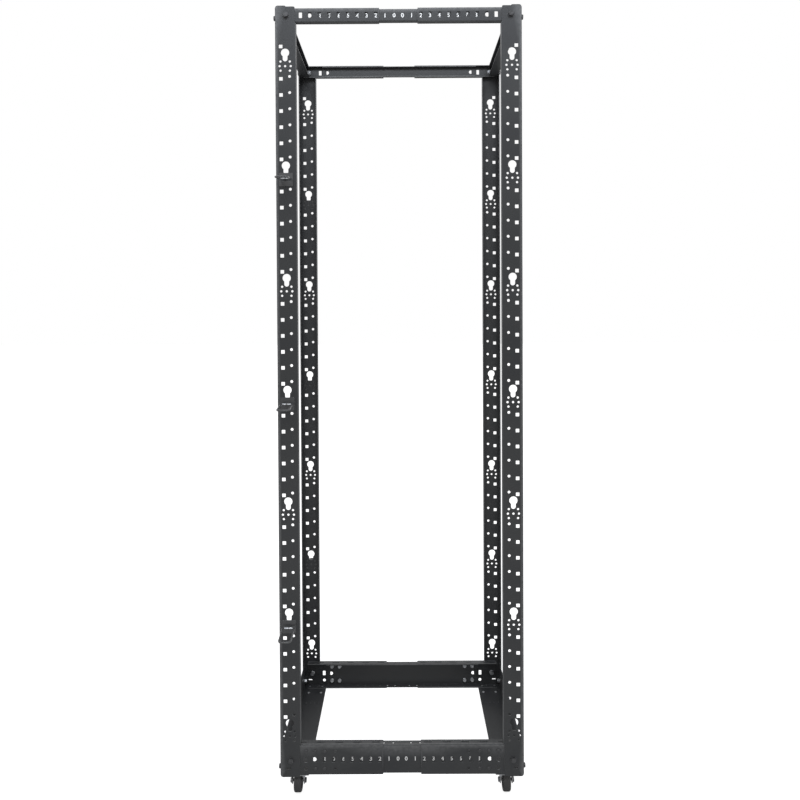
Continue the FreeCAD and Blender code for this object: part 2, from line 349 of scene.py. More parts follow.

# %% [markdown]
# Powder coat is a thin skin of melted plastic. Close up it has a fine grain, a soft sheen and a
# slightly paler line on every edge, where it flows thin; that line is also a painted highlight, and
# the same mark paints a highlight along each bend. The grain and the edge are needed by more than
# one finish, so each is a node group with named sockets, built once.
#
# Colours are written as they should look in plain light, except the paler edges and bends, which
# hold a painted highlight, and the ring coat, which is painted lighter. Gloss and reflection stay
# outside the groups, in each material's own shader.

# %% node groups for grain, cloudiness, and thin edges with painted highlight
def new_group(name, inputs, output):
    """A shader group that takes named numbers, given here with their values, and returns one."""
    group = bpy.data.node_groups.new(name, "ShaderNodeTree")
    for label, value in inputs.items():
        socket = group.interface.new_socket(name=label, in_out="INPUT", socket_type="NodeSocketFloat")
        socket.default_value = value
    group.interface.new_socket(name=output, in_out="OUTPUT", socket_type="NodeSocketFloat")
    return group, group.nodes.new("NodeGroupInput"), group.nodes.new("NodeGroupOutput")


def add_node(tree, kind, **settings):
    """Add a node and set its plain properties."""
    node = tree.nodes.new(kind)
    for key, value in settings.items():
        setattr(node, key, value)
    return node


def object_noise(tree, detail):
    """Noise in a piece's own coordinates."""
    place = add_node(tree, "ShaderNodeTexCoord")
    noise = add_node(tree, "ShaderNodeTexNoise", noise_dimensions="3D")
    noise.inputs["Detail"].default_value = detail
    tree.links.new(place.outputs["Object"], noise.inputs["Vector"])
    return noise


def grain_group():
    """Fine bumps of a sprayed or moulded surface, as a height."""
    group, source, result = new_group("surface_grain", {"Size": 900.0, "Waves": 160.0}, "Height")
    link = group.links.new
    fine = object_noise(group, 2.0)
    broad = object_noise(group, 1.0)
    blend = add_node(group, "ShaderNodeMath", operation="MULTIPLY_ADD")
    blend.inputs[1].default_value = 0.6
    link(source.outputs["Size"], fine.inputs["Scale"])
    link(source.outputs["Waves"], broad.inputs["Scale"])
    link(broad.outputs["Fac"], blend.inputs[0])
    link(fine.outputs["Fac"], blend.inputs[2])
    link(blend.outputs["Value"], result.inputs["Height"])
    return group


def cloud_group():
    """Slow unevenness over a surface, from 0 to 1."""
    group, source, result = new_group("slow_clouds", {"Scale": 6.0, "Low": 0.35, "High": 0.65}, "Mask")
    link = group.links.new
    noise = object_noise(group, 3.0)
    spread = add_node(group, "ShaderNodeMapRange", interpolation_type="SMOOTHSTEP")
    link(source.outputs["Scale"], noise.inputs["Scale"])
    link(noise.outputs["Fac"], spread.inputs["Value"])
    link(source.outputs["Low"], spread.inputs["From Min"])
    link(source.outputs["High"], spread.inputs["From Max"])
    link(spread.outputs["Result"], result.inputs["Mask"])
    return group


def rim_group():
    """How thin the coating is and how strong the painted highlight: 1 on a cut edge, less along a bend,
    where the mark is painted highlight only; broken up a little by noise.
    """
    group, source, result = new_group("thin_edges_and_highlight", {"Amount": 1.0}, "Mask")
    link = group.links.new
    mark = add_node(group, "ShaderNodeAttribute", attribute_name="rim")
    noise = object_noise(group, 2.0)
    noise.inputs["Scale"].default_value = 120.0
    spread = add_node(group, "ShaderNodeMapRange")
    spread.inputs["From Min"].default_value = 0.3
    spread.inputs["From Max"].default_value = 0.7
    spread.inputs["To Min"].default_value = 0.5
    product = add_node(group, "ShaderNodeMath", operation="MULTIPLY")
    scaled = add_node(group, "ShaderNodeMath", operation="MULTIPLY")
    link(noise.outputs["Fac"], spread.inputs["Value"])
    link(mark.outputs["Fac"], product.inputs[0])
    link(spread.outputs["Result"], product.inputs[1])
    link(product.outputs["Value"], scaled.inputs[0])
    link(source.outputs["Amount"], scaled.inputs[1])
    link(scaled.outputs["Value"], result.inputs["Mask"])
    return group


GRAIN = grain_group()
CLOUDS = cloud_group()
THIN_EDGES_AND_HIGHLIGHT = rim_group()
print("groups:", GRAIN.name, CLOUDS.name, THIN_EDGES_AND_HIGHLIGHT.name)

# %% materials
def use_group(tree, group, **values):
    """Place a group in a material with its own values."""
    node = add_node(tree, "ShaderNodeGroup", node_tree=group)
    for label, value in values.items():
        node.inputs[label].default_value = value
    return node


def finish(name, slot_name, colour, cloud_colour, edge_and_highlight_colour, roughness, rough_spread=0.08,
           metallic=0.0, bump=0.02, grain_size=900.0, waves=160.0, cloud_scale=6.0, edge=1.0,
           gloss=0.5):
    """One coated, plated or moulded finish, with grain, clouds, thin edges and a painted highlight on
    edges and bends.
    """
    material = bpy.data.materials.new(name)
    material.use_nodes = True
    material["slot"] = slot_name
    tree = material.node_tree
    shader = tree.nodes["Principled BSDF"]
    shader.inputs["Metallic"].default_value = metallic
    shader.inputs["Specular IOR Level"].default_value = gloss
    clouds = use_group(tree, CLOUDS, Scale=cloud_scale)
    edges = use_group(tree, THIN_EDGES_AND_HIGHLIGHT, Amount=edge)
    grain = use_group(tree, GRAIN, Size=grain_size, Waves=waves)
    tone = add_node(tree, "ShaderNodeMix", data_type="RGBA")
    tone.inputs["A"].default_value = (*colour, 1)
    tone.inputs["B"].default_value = (*cloud_colour, 1)
    # paler colour on rims, partly thin coat and partly painted highlight, and on bends as painted
    # highlight only
    pale_edge_and_highlight = add_node(tree, "ShaderNodeMix", data_type="RGBA")
    pale_edge_and_highlight.inputs["B"].default_value = (*edge_and_highlight_colour, 1)
    rough = add_node(tree, "ShaderNodeMapRange")
    rough.inputs["To Min"].default_value = roughness
    rough.inputs["To Max"].default_value = roughness + rough_spread
    bump_node = add_node(tree, "ShaderNodeBump")
    bump_node.inputs["Strength"].default_value = 1.0
    bump_node.inputs["Distance"].default_value = bump * MM
    link = tree.links.new
    link(clouds.outputs["Mask"], tone.inputs["Factor"])
    link(tone.outputs["Result"], pale_edge_and_highlight.inputs["A"])
    link(edges.outputs["Mask"], pale_edge_and_highlight.inputs["Factor"])
    link(pale_edge_and_highlight.outputs["Result"], shader.inputs["Base Color"])
    link(clouds.outputs["Mask"], rough.inputs["Value"])
    link(rough.outputs["Result"], shader.inputs["Roughness"])
    link(grain.outputs["Height"], bump_node.inputs["Height"])
    link(bump_node.outputs["Normal"], shader.inputs["Normal"])
    return material


POWDER_COAT = finish("black_powder_coat", "powder_coat", (0.030, 0.031, 0.033), (0.036, 0.037, 0.038),
                     (0.150, 0.151, 0.153), 0.40, bump=0.05, gloss=0.32)
# the same black powder coat as the posts, painted lighter so that the loops read brighter: a painted
# highlight; it is glossier too
RING_COAT_PAINTED_LIGHTER = finish("ring_powder_coat_painted_lighter", "powder_coat", (0.045, 0.046, 0.048), (0.055, 0.056, 0.057),
                   (0.110, 0.111, 0.113), 0.24, bump=0.03, gloss=0.7)
ZINC = finish("bright_zinc", "zinc_plate", (0.52, 0.53, 0.54), (0.42, 0.43, 0.45), (0.66, 0.66, 0.66),
              0.30, 0.15, metallic=1.0, bump=0.02, cloud_scale=60.0)
WHEEL_RUBBER = finish("wheel_rubber", "wheel_tread", (0.028, 0.028, 0.029), (0.040, 0.039, 0.038),
                      (0.05, 0.05, 0.05), 0.55, 0.12, bump=0.03, cloud_scale=40.0)
DARK_STEEL = finish("dark_bolt_steel", "axle_bolt", (0.10, 0.10, 0.105), (0.16, 0.16, 0.165),
                    (0.30, 0.30, 0.31), 0.35, 0.15, metallic=0.9, bump=0.02, cloud_scale=80.0)
BLACK_STEEL = finish("black_bolt_steel", "axle_bolt", (0.030, 0.030, 0.032), (0.045, 0.045, 0.047),
                     (0.10, 0.10, 0.10), 0.28, 0.12, bump=0.01, cloud_scale=90.0)
WHITE_PRINT = finish("white_print", "powder_coat", (0.80, 0.80, 0.79), (0.72, 0.72, 0.71),
                     (0.80, 0.80, 0.79), 0.50, bump=0.01, cloud_scale=200.0)
print("materials:", len(bpy.data.materials))

# %% [markdown]
# A post is one strip of sheet. Its wide side face carries keyholes every seven units, with a
# cluster of seven small holes under each, and one square and one round hole on nearly every unit.
# Its slotted flange carries the three square holes of every unit that equipment is fixed with.

# %% the flat pattern of a post
CLUSTER = ((-12.9, -41.4), (12.9, -41.4), (-15.4, -54.1), (0.0, -54.1), (15.4, -54.1),
           (-12.9, -66.5), (12.9, -66.5))
CLUSTER_RADIUS = 3.2 * MM
KEYHOLE_DROP = 17.3 * MM
KEYHOLE_RADIUS = 11.5 * MM
KEYHOLE_HALF_SLOT = 6.7 * MM
KEYHOLE_FALL = 23.7 * MM         # from the round end's centre to the bottom of the slot
END_SLOT_X = 318.5 * MM
RAIL_GAP = 1.5 * MM              # from the inner flange's end to the rail
HEAD_CORNER = 8.0 * MM
INNER_CORNER = 4.0 * MM
HEAD_STEP = 2.5 * MM             # the inner half of the head lies lower

post_bends = Channel(20.0 * MM, post_hi.x - post_lo.x, post_hi.y - post_lo.y)


def post_holes():
    """All the holes of a post's pattern."""
    holes = []
    u_middle = post_bends.on_web(POST_MIDDLE - post_lo.x)
    u_square = post_bends.on_web(SQUARE_LINE - post_lo.x)
    u_round = post_bends.on_web(ROUND_LINE - post_lo.x)
    for n in range(SIDE_ROWS):
        z = SIDE_TOP - n * UNIT
        if n % KEYHOLE_STEP != 1:
            holes.append(window(u_square, z, SIDE_SQUARE, SIDE_SQUARE))
            if n > 0:
                holes.append(round_hole(u_round, z + ROUND_RISE, SIDE_ROUND))
        if n % KEYHOLE_STEP == 0:
            holes.append(keyhole(u_middle, z - KEYHOLE_DROP, KEYHOLE_RADIUS, KEYHOLE_HALF_SLOT,
                                 KEYHOLE_FALL))
            for du, dv in CLUSTER:
                holes.append(round_hole(u_middle + du * MM, z + dv * MM, CLUSTER_RADIUS, 12))
    u_end_slot = post_bends.on_web(END_SLOT_X - post_lo.x)
    holes.append(window(u_end_slot, END_SLOT_Z, 13.0 * MM, 4.0 * MM))
    u_ear = post_bends.on_second(post_hi.y - EAR_COLUMN)
    for unit in range(UNITS):
        for row in EAR_ROWS:
            holes.append(window(u_ear, UNIT_START + unit * UNIT + row, EAR_HOLE, EAR_HOLE))
    return holes


def post_outline():
    """The outline, with a short inner flange and rounded outer corners on the side face."""
    bends = post_bends
    tip = bends.on_web(bends.web - HEAD_CORNER)
    edge = bends.on_web(bends.web - bends.radius)
    turn = math.degrees(math.acos((edge - tip) / HEAD_CORNER))
    low, high = post_lo.z, post_hi.z
    inner_low = low_rail_hi.z + RAIL_GAP
    inner_high = top_rail_lo.z - RAIL_GAP
    web_start = bends.on_web(bends.radius)
    points = [(0, inner_low), (web_start, inner_low), (web_start, low)]
    points += arc(tip, low + HEAD_CORNER, HEAD_CORNER, -90, -turn, 5)
    points += [(edge + bends.arc, low + HEAD_CORNER), (bends.width, low + HEAD_CORNER)]
    points += [(bends.width, high - HEAD_CORNER), (edge + bends.arc, high - HEAD_CORNER)]
    points += arc(tip, high - HEAD_CORNER, HEAD_CORNER, turn, 90, 5)
    points += [(bends.on_web(POST_MIDDLE - post_lo.x), high)]
    points += [(bends.on_web(POST_MIDDLE - post_lo.x - HEAD_STEP), high - HEAD_STEP)]
    points += arc(web_start + INNER_CORNER, high - HEAD_STEP - INNER_CORNER, INNER_CORNER, 90, 180, 4)
    points += [(web_start, inner_high), (0, inner_high)]
    return points


def place_post(u, v, w):
    """Where a point of the post's pattern stands in the rack."""
    a, b = post_bends.folded(u, w)
    return (post_lo.x + a, post_hi.y - b, v)


holes = post_holes()
post_mesh = make_sheet("post", [post_outline()] + holes, post_bends.fold_lines(), place_post)
for where, sx, sy in CORNERS:
    add_piece("post_sheet_" + where, mirrored(post_mesh, "post_sheet_" + where, sx, sy),
              POWDER_COAT, ROOT, where + "_post")
print("a post has", len(holes), "holes and", len(post_mesh.polygons), "faces")

# %% [markdown]
# Each side of the rack has a rail at the bottom and one at the top. A rail is three channels: a
# middle section that slides inside two outer ones, so that the rack can be made deeper. Windows
# in the outer sections show a printed scale on the middle one.

# %% the outer rail sections
WINDOW_STEP = 26.0 * MM
WINDOW_START = 62.6 * MM
WINDOWS = 9
SLOT_START = 73.5 * MM
SLOT_STEP = 52.0 * MM
FLANGE_SLOT_IN = 14.0 * MM       # from the web's face to the middle of a slot
SIDE_HOLE_RISE = 24.5 * MM       # rows of bolts and holes above and below the windows
PAIR_HOLES = 187.0 * MM          # from the middle of the rack, as are the next two
FIFTH_BOLT = 270.0 * MM
MIDDLE_HOLE = 246.0 * MM
MIDDLE_ROW = (25.0, 50.8, 76.2, 101.6, 127.0, 152.4)


def rail_holes(bends, lo, tall):
    """Windows on the middle line, and on the tall bottom rail more holes and slots."""
    holes = []
    u = bends.on_web(bends.web / 2)
    for k in range(WINDOWS):
        holes.append(window(u, WINDOW_START + k * WINDOW_STEP, 15.5 * MM, 9.0 * MM, 1.0 * MM))
    if tall:
        for k in range(5):
            v = SLOT_START + SLOT_STEP * k
            for u_flange in (bends.on_second(FLANGE_SLOT_IN), bends.on_first(FLANGE_SLOT_IN)):
                holes.append(slot(u_flange, v, 5.0 * MM, 23.5 * MM))
        holes.append(round_hole(u - SIDE_HOLE_RISE, FIFTH_BOLT, 5.0 * MM))
        for rise in (-SIDE_HOLE_RISE, SIDE_HOLE_RISE):
            holes.append(round_hole(u + rise, PAIR_HOLES, 4.0 * MM))
        holes.append(window(bends.on_web(END_SLOT_Z - lo.z), END_SLOT_X, 4.0 * MM, 13.0 * MM))
    return holes


def along_depth(name, bends, lo, hi, holes):
    """A folded channel with these holes, its length along the rack's depth."""
    outline = rectangle(0, bends.width, lo.x, hi.x)

    def place(u, v, w):
        a, b = bends.folded(u, w)
        return (v, hi.y - b, lo.z + a)

    return make_sheet(name, [outline] + holes, bends.fold_lines(), place)


def rail(name, lo, hi, tall):
    """One outer section of rail."""
    bends = Channel(hi.y - lo.y, hi.z - lo.z, hi.y - lo.y)
    return along_depth(name, bends, lo, hi, rail_holes(bends, lo, tall))


low_rail_mesh = rail("bottom_rail", low_rail_lo, low_rail_hi, True)
top_rail_mesh = rail("top_rail", top_rail_lo, top_rail_hi, False)
for where, sx, sy in CORNERS:
    for kind, mesh in (("bottom_rail_", low_rail_mesh), ("top_rail_", top_rail_mesh)):
        name = kind + "sheet_" + where
        add_piece(name, mirrored(mesh, name, sx, sy), POWDER_COAT, ROOT, kind + where)
print("outer rail faces:", len(low_rail_mesh.polygons), len(top_rail_mesh.polygons))

# %% the middle rail sections
def middle_rail(name, lo, hi, tall):
    """The section that slides inside, with a row of holes near each end."""
    bends = Channel(hi.y - lo.y, hi.z - lo.z, hi.y - lo.y, 2.6 * MM)
    u = bends.on_web(bends.web / 2)
    holes = []
    for end in (-1, 1):
        holes.append(round_hole(u, end * MIDDLE_HOLE, 6.0 * MM, 20))
        if tall:
            for v in MIDDLE_ROW:
                for u_flange in (bends.on_first(12.5 * MM), bends.on_second(12.5 * MM)):
                    holes.append(round_hole(u_flange, end * v * MM, 2.6 * MM, 12))
    return along_depth(name, bends, lo, hi, holes)


low_mid_mesh = middle_rail("bottom_rail_middle", low_mid_lo, low_mid_hi, True)
top_mid_mesh = middle_rail("top_rail_middle", top_mid_lo, top_mid_hi, False)
for side, sy in SIDES:
    for kind, mesh in (("bottom_rail_middle_", low_mid_mesh), ("top_rail_middle_", top_mid_mesh)):
        name = kind + "sheet_" + side
        add_piece(name, mirrored(mesh, name, 1, sy), POWDER_COAT, ROOT, kind + side)
print("middle rail faces:", len(low_mid_mesh.polygons), len(top_mid_mesh.polygons))

# %% [markdown]
# The scale is printed in white on the middle section: the digits 8 down to 0 and back up to 8.
# Each digit is a text object turned into a mesh with almost no thickness, like a layer of ink.
# They are real shapes and not an image, so they stay crisp and need no file.

# %% the printed scale
DIGIT_HEIGHT = 11.0 * MM
DIGIT_STEP = 25.4 * MM
DIGIT_START = 11.45 * MM
DIGIT_DROP = {"bottom": -1.7 * MM, "top": 1.0 * MM}   # below the windows' middle line
DIGITS = 9                       # 0 to 8
INK = 0.08 * MM
INK_GAP = 0.01 * MM


def digit_mesh(digit):
    """A digit as a flat mesh, its middle at the origin, facing +Z."""
    curve = bpy.data.curves.new("digit", "FONT")
    curve.body = str(digit)
    curve.size = DIGIT_HEIGHT / 0.69
    curve.align_x = "CENTER"
    curve.resolution_u = 3
    curve.extrude = INK / 2
    curve.offset = 0.35 * MM
    holder = bpy.data.objects.new("digit", curve)
    bpy.context.scene.collection.objects.link(holder)
    mesh = bpy.data.meshes.new_from_object(holder)
    bpy.data.objects.remove(holder)
    low = min(v.co.y for v in mesh.vertices)
    high = max(v.co.y for v in mesh.vertices)
    left = min(v.co.x for v in mesh.vertices)
    right = max(v.co.x for v in mesh.vertices)
    mesh.transform(Matrix.Translation((-(left + right) / 2, -(low + high) / 2, 0)))
    return mesh


digits = [digit_mesh(d) for d in range(DIGITS)]


def scale_print(name, side, lo, hi, drop):
    """All the digits of one rail as one piece, readable from outside."""
    builder = bmesh.new()
    z = (lo.z + hi.z) / 2 - drop
    y = side * (hi.y + INK / 2 + INK_GAP)
    turn = Euler((math.pi / 2, 0, 0 if side < 0 else math.pi)).to_matrix().to_4x4()
    for end in (-1, 1):
        for d in range(DIGITS):
            spot = Vector((end * (DIGIT_START + d * DIGIT_STEP), y, z))
            copy = digits[d].copy()
            copy.transform(Matrix.Translation(spot) @ turn)
            builder.from_mesh(copy)
            bpy.data.meshes.remove(copy)
    bmesh.ops.remove_doubles(builder, verts=builder.verts, dist=1e-6)
    mesh = bpy.data.meshes.new(name)
    builder.to_mesh(mesh)
    builder.free()
    return mesh


for side, sy in SIDES:
    for kind, lo, hi in (("bottom", low_mid_lo, low_mid_hi), ("top", top_mid_lo, top_mid_hi)):
        name = kind + "_scale_" + side
        add_piece(name, scale_print(name, sy, lo, hi, DIGIT_DROP[kind]), WHITE_PRINT, ROOT)
print("printed digits:", 4 * 2 * DIGITS)

# %% [markdown]
# The cross beams tie the left and right sides. The bottom one has a wide foot for the casters,
# and the top one is a shallow channel whose ends lie inside the top rails.

# %% cross beams
def beam(name, lo, hi, first, second, holes_of):
    """A folded channel across the rack, its web just behind the slotted flanges."""
    bends = Channel(first, hi.z - lo.z, second)
    outline = rectangle(0, bends.width, lo.y, hi.y)

    def place(u, v, w):
        a, b = bends.folded(u, w)
        return (hi.x - b, v, lo.z + a)

    return make_sheet(name, [outline] + holes_of(bends), bends.fold_lines(), place)


def foot_holes(bends):
    """A row of small holes across the foot on each side, and a slot near each end of the web."""
    holes = []
    for side in (-1, 1):
        for b in (20.0, 35.0, 48.0, 63.0):
            holes.append(round_hole(bends.on_first(b * MM), side * 138.0 * MM, 1.8 * MM, 10))
        u_slot = bends.on_web(END_SLOT_Z - foot_lo.z)
        holes.append(slot(u_slot, side * 250.0 * MM, 4.5 * MM, 18.0 * MM))
    return holes


def head_holes(bends):
    """Round holes along the web of the top beam."""
    return [round_hole(bends.on_web(bends.web / 2), v * 50.0 * MM, 4.0 * MM) for v in range(-4, 5)]


foot_flange = foot_hi.x - foot_lo.x
head_flange = head_hi.x - head_lo.x
foot_mesh = beam("bottom_beam", foot_lo, foot_hi, foot_flange, None, foot_holes)
head_mesh = beam("top_beam", head_lo, head_hi, head_flange, head_flange, head_holes)
for end, sx in ENDS:
    for kind, mesh in (("bottom_beam_", foot_mesh), ("top_beam_", head_mesh)):
        name = kind + "sheet_" + end
        add_piece(name, mirrored(mesh, name, sx, 1), POWDER_COAT, ROOT, kind + end)
print("beam faces:", len(foot_mesh.polygons), len(head_mesh.polygons))

# %% [markdown]
# Turned and upset parts are stacks of outlines. A bolt head starts as a hexagon and is cut by a
# cone, which is why its six corners are rounded off on top. A wheel is turned on a lathe. Both
# can be built from rings of points joined one above the other, so one helper makes them all.

# %% stacks of outlines
def stack(builder, rings, place, looped):
    """Join rings of points into a closed solid; place is the matrix from local to rack."""
    layers = [[builder.verts.new(place @ Vector(p)) for p in ring] for ring in rings]
    count = len(layers[0])
    pairs = list(zip(layers, layers[1:]))
    if looped:
        pairs.append((layers[-1], layers[0]))
    for low, high in pairs:
        for i in range(count):
            j = (i + 1) % count
            builder.faces.new((low[i], low[j], high[j], high[i]))
    if not looped:
        builder.faces.new(list(reversed(layers[0])))
        builder.faces.new(layers[-1])


def disc(radius, height, sides=24):
    """A ring of points about the local Z axis."""
    turns = [2 * math.pi / sides * i for i in range(sides)]
    return [(radius * math.cos(turn), radius * math.sin(turn), height) for turn in turns]


def hexagon(across, height, limit):
    """A hexagon's outline in 24 points, nowhere further from the axis than the limit."""
    points = []
    for i in range(24):
        angle = math.pi * i / 12
        off = (angle + math.pi / 6) % (math.pi / 3) - math.pi / 6
        radius = min(across / 2 / math.cos(off), limit)
        points.append((radius * math.cos(angle), radius * math.sin(angle), height))
    return points


def hex_head(across, height, washer=0.0):
    """Rings of a bolt head or nut standing on a washer: the top corners are cut by a cone."""
    rings = []
    foot = 0.0
    if washer:
        rings += [disc(washer, 0.0), disc(washer, 0.9 * MM), disc(washer - 0.3 * MM, 1.2 * MM)]
        foot = 1.2 * MM
    wide = across / math.sqrt(3)
    flat = across / 2
    rings += [hexagon(across, foot, wide), hexagon(across, foot + height * 0.78, wide),
              hexagon(across, foot + height * 0.90, (wide + flat) / 2),
              hexagon(across, foot + height, flat * 0.96)]
    return rings


def button_head(radius, height):
    """Rings of a low round head."""
    shape = ((1.0, 0.0), (1.0, 0.25), (0.92, 0.62), (0.72, 0.88), (0.40, 1.0))
    return [disc(radius * part, height * rise) for part, rise in shape]


def bolt_place(position, direction, spin=0.0):
    """Turn local Z into a direction and move it to a position."""
    turn = Vector(direction).to_track_quat("Z", "Y").to_matrix().to_4x4()
    return Matrix.Translation(position) @ turn @ Matrix.Rotation(math.radians(spin), 4, "Z")


def solid_piece(name, stacks, material, body, *nodes, angle=30):
    """One object from several stacks, each a row of rings with its place."""
    builder = bmesh.new()
    for rings, matrix, looped in stacks:
        stack(builder, rings, matrix, looped)
    bmesh.ops.recalc_face_normals(builder, faces=builder.faces)
    mesh = bpy.data.meshes.new(name)
    builder.to_mesh(mesh)
    builder.free()
    return add_piece(name, finish_mesh(mesh, angle), material, body, *nodes)


print("a bolt head has", len(hex_head(13 * MM, 5 * MM)) * 24, "points")

# %% [markdown]
# The rack ships flat and is bolted together. One large bolt ties each post to each rail, a bolt
# through the slotted flange ties it to the beam, and four low round heads clamp each bottom
# rail's sliding sections with plain zinc nuts behind. A fifth round head fills a hole near the
# post. The nuts face inwards, where cables run.

# %% bolts and nuts of the frame
MID_LOW = (low_rail_lo.z + low_rail_hi.z) / 2
MID_HIGH = (top_rail_lo.z + top_rail_hi.z) / 2
POST_BOLT = 311.0 * MM           # from the middle of the rack
CLAMP_LINES = (217.0 * MM, 243.0 * MM)
BOLT_ACROSS = 13.0 * MM
NUT_HEIGHT = 6.0 * MM
WASHER = 8.0 * MM                # radius under the large nuts
NUT_TURN = 9000                  # degrees per metre, so that no two nuts are turned alike
flange_lo, flange_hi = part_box("flange_bolts_front")
web_face = low_rail_hi.y         # outer face of the rails' webs
inner_face = low_mid_hi.y - SHEET
FLANGE_BOLT_Y = flange_hi.y - BOLT_ACROSS / math.sqrt(3)
FLANGE_BOLT_Z = (flange_lo.z + BOLT_ACROSS / 2, flange_hi.z - BOLT_ACROSS / 2)


def corner_bolts(sx, sy):
    """Heads and nuts of one corner, as two rows of stacks."""
    heads = []
    nuts = []
    out = (0, sy, 0)
    back = (0, -sy, 0)
    for z, spin in ((MID_LOW, 12.0), (MID_HIGH, 25.0)):
        x = sx * POST_BOLT
        outer = bolt_place((x, sy * post_hi.y, z), out, spin)
        inner = bolt_place((x, sy * (low_rail_hi.y - SHEET), z), back, spin)
        heads.append((hex_head(BOLT_ACROSS, 5.3 * MM, 8.6 * MM), outer, False))
        nuts.append((hex_head(BOLT_ACROSS, NUT_HEIGHT, WASHER), inner, False))
    for x in CLAMP_LINES:
        for rise in (-SIDE_HOLE_RISE, SIDE_HOLE_RISE):
            outer = bolt_place((sx * x, sy * web_face, MID_LOW + rise), out)
            inner = bolt_place((sx * x, sy * inner_face, MID_LOW + rise), back, x * NUT_TURN)
            heads.append((button_head(5.0 * MM, 2.4 * MM), outer, False))
            nuts.append((hex_head(10.0 * MM, 5.0 * MM, 6.5 * MM), inner, False))
    outer = bolt_place((sx * FIFTH_BOLT, sy * web_face, MID_LOW + SIDE_HOLE_RISE), out)
    heads.append((button_head(5.4 * MM, 2.6 * MM), outer, False))
    for z in FLANGE_BOLT_Z:
        inner = bolt_place((sx * (foot_hi.x - SHEET), sy * FLANGE_BOLT_Y, z), (-sx, 0, 0), 8)
        nuts.append((hex_head(BOLT_ACROSS, NUT_HEIGHT, WASHER), inner, False))
    return heads, nuts


bolt_count = 0
for where, sx, sy in CORNERS:
    heads, nuts = corner_bolts(sx, sy)
    solid_piece("frame_bolt_heads_" + where, heads, BLACK_STEEL, ROOT)
    solid_piece("frame_nuts_" + where, nuts, ZINC, ROOT)
    bolt_count += len(heads)
for end, sx in ENDS:
    stacks = []
    for sy in (-1, 1):
        for z in FLANGE_BOLT_Z:
            spot = bolt_place((sx * post_hi.x, sy * FLANGE_BOLT_Y, z), (sx, 0, 0))
            stacks.append((hex_head(BOLT_ACROSS, flange_hi.x - post_hi.x), spot, False))
    solid_piece("flange_bolt_heads_" + end, stacks, BLACK_STEEL, ROOT, "flange_bolts_" + end)
    bolt_count += len(stacks)
print("bolts:", bolt_count)

# %% [markdown]
# A cable ring is a small plate that hangs in a keyhole and holds a bent bar. Here the bar is a
# closed, round cornered loop on a short tongue. Two bright zinc pins lie end to end along its
# inner side, with a small gap between them: a painted highlight on the loop's inner side. Cables
# lie in the loop, which slopes down a little.

# %% cable rings
RING_WIDTH = 37.0 * MM
RING_BAR = 5.0 * MM
RING_TILT = math.radians(6.0)
RING_ROOT = 11.5 * MM            # from the post's side face to the loop's inner side
PLATE_THICK = 2.0 * MM
PLATE_WIDTH = 38.0 * MM
PLATE_HEIGHT = 37.0 * MM
LOOP_DROP = 16.2 * MM            # from the plate's top edge to the loop


def loop_path(half, near, far, corner, steps=6):
    """The middle line of the loop, as a closed row of points in its own plane."""
    points = []
    for cx, cy, start in ((half, far, 0), (-half, far, 90), (-half, near, 180), (half, near, 270)):
        su = 1 if cx > 0 else -1
        sv = 1 if cy == far else -1
        points += arc(cx - su * corner, cy - sv * corner, corner, start, start + 90, steps)
    return points


def bar_rings(path, thick, sides=10):
    """A rounded bar along a closed path in the XY plane, as rings across it."""
    rings = []
    count = len(path)
    for i, (x, y) in enumerate(path):
        x0, y0 = path[i - 1]
        x1, y1 = path[(i + 1) % count]
        along = Vector((x1 - x0, y1 - y0, 0)).normalized()
        side = Vector((along.y, -along.x, 0))
        ring = []
        for k in range(sides):
            angle = 2 * math.pi * (k + 0.5) / sides
            across = thick / 2 * math.copysign(abs(math.cos(angle)) ** 0.6, math.cos(angle))
            up = thick / 2 * math.copysign(abs(math.sin(angle)) ** 0.6, math.sin(angle))
            ring.append(Vector((x, y, 0)) + side * across + Vector((0, 0, up)))
        rings.append(ring)
    return rings


def ring_pins(tilt):
    """Two short bright pins end to end, as stacks: a painted highlight along the loop's inner side."""
    shape = ((1.4 * MM, 0.0), (1.9 * MM, 0.4 * MM), (1.9 * MM, 11.0 * MM), (1.4 * MM, 11.4 * MM))
    rings = [disc(r, z, 12) for r, z in shape]
    y = RING_ROOT - PLATE_THICK + RING_BAR / 2 + 0.4 * MM
    return [(rings, tilt @ bolt_place((end * 0.9 * MM, y, 0), (end, 0, 0)), False) for end in (-1, 1)]


for side, sy in SIDES:
    for number in (1, 2, 3):
        label = side + "_" + str(number)
        lo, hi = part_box("cable_ring_" + label)
        face = post_hi.y + PLATE_THICK
        flat = window(-POST_MIDDLE, hi.z - PLATE_HEIGHT / 2, PLATE_WIDTH, PLATE_HEIGHT, 3.0 * MM, 4)
        plate = make_sheet("ring_plate", [flat], [], lambda u, v, w: (u, sy * (face - w), v))
        add_piece("ring_plate_" + label, plate, RING_COAT_PAINTED_LIGHTER, ROOT, "cable_ring_" + label)
        tilt = Matrix.Translation((-POST_MIDDLE, sy * face, hi.z - LOOP_DROP))
        tilt = tilt @ Matrix.Diagonal((1, sy, 1, 1)) @ Matrix.Rotation(-RING_TILT, 4, "X")
        near = RING_ROOT - PLATE_THICK
        far = max(abs(lo.y), abs(hi.y)) - face - RING_BAR / 2 + 0.3 * MM
        path = loop_path((RING_WIDTH - RING_BAR) / 2, near, far, 9.0 * MM)
        tongue = [[(x * MM, y, z * MM) for x, z in ((-5, -1.5), (5, -1.5), (5, 1.5), (-5, 1.5))]
                  for y in (-1.0 * MM, near)]
        loop = [(bar_rings(path, RING_BAR), tilt, True), (tongue, tilt, False)]
        solid_piece("ring_loop_" + label, loop, RING_COAT_PAINTED_LIGHTER, ROOT, angle=50)
        # bright zinc pins as a painted highlight along the loop's inner side
        solid_piece("ring_pins_" + label, ring_pins(tilt), ZINC, ROOT)
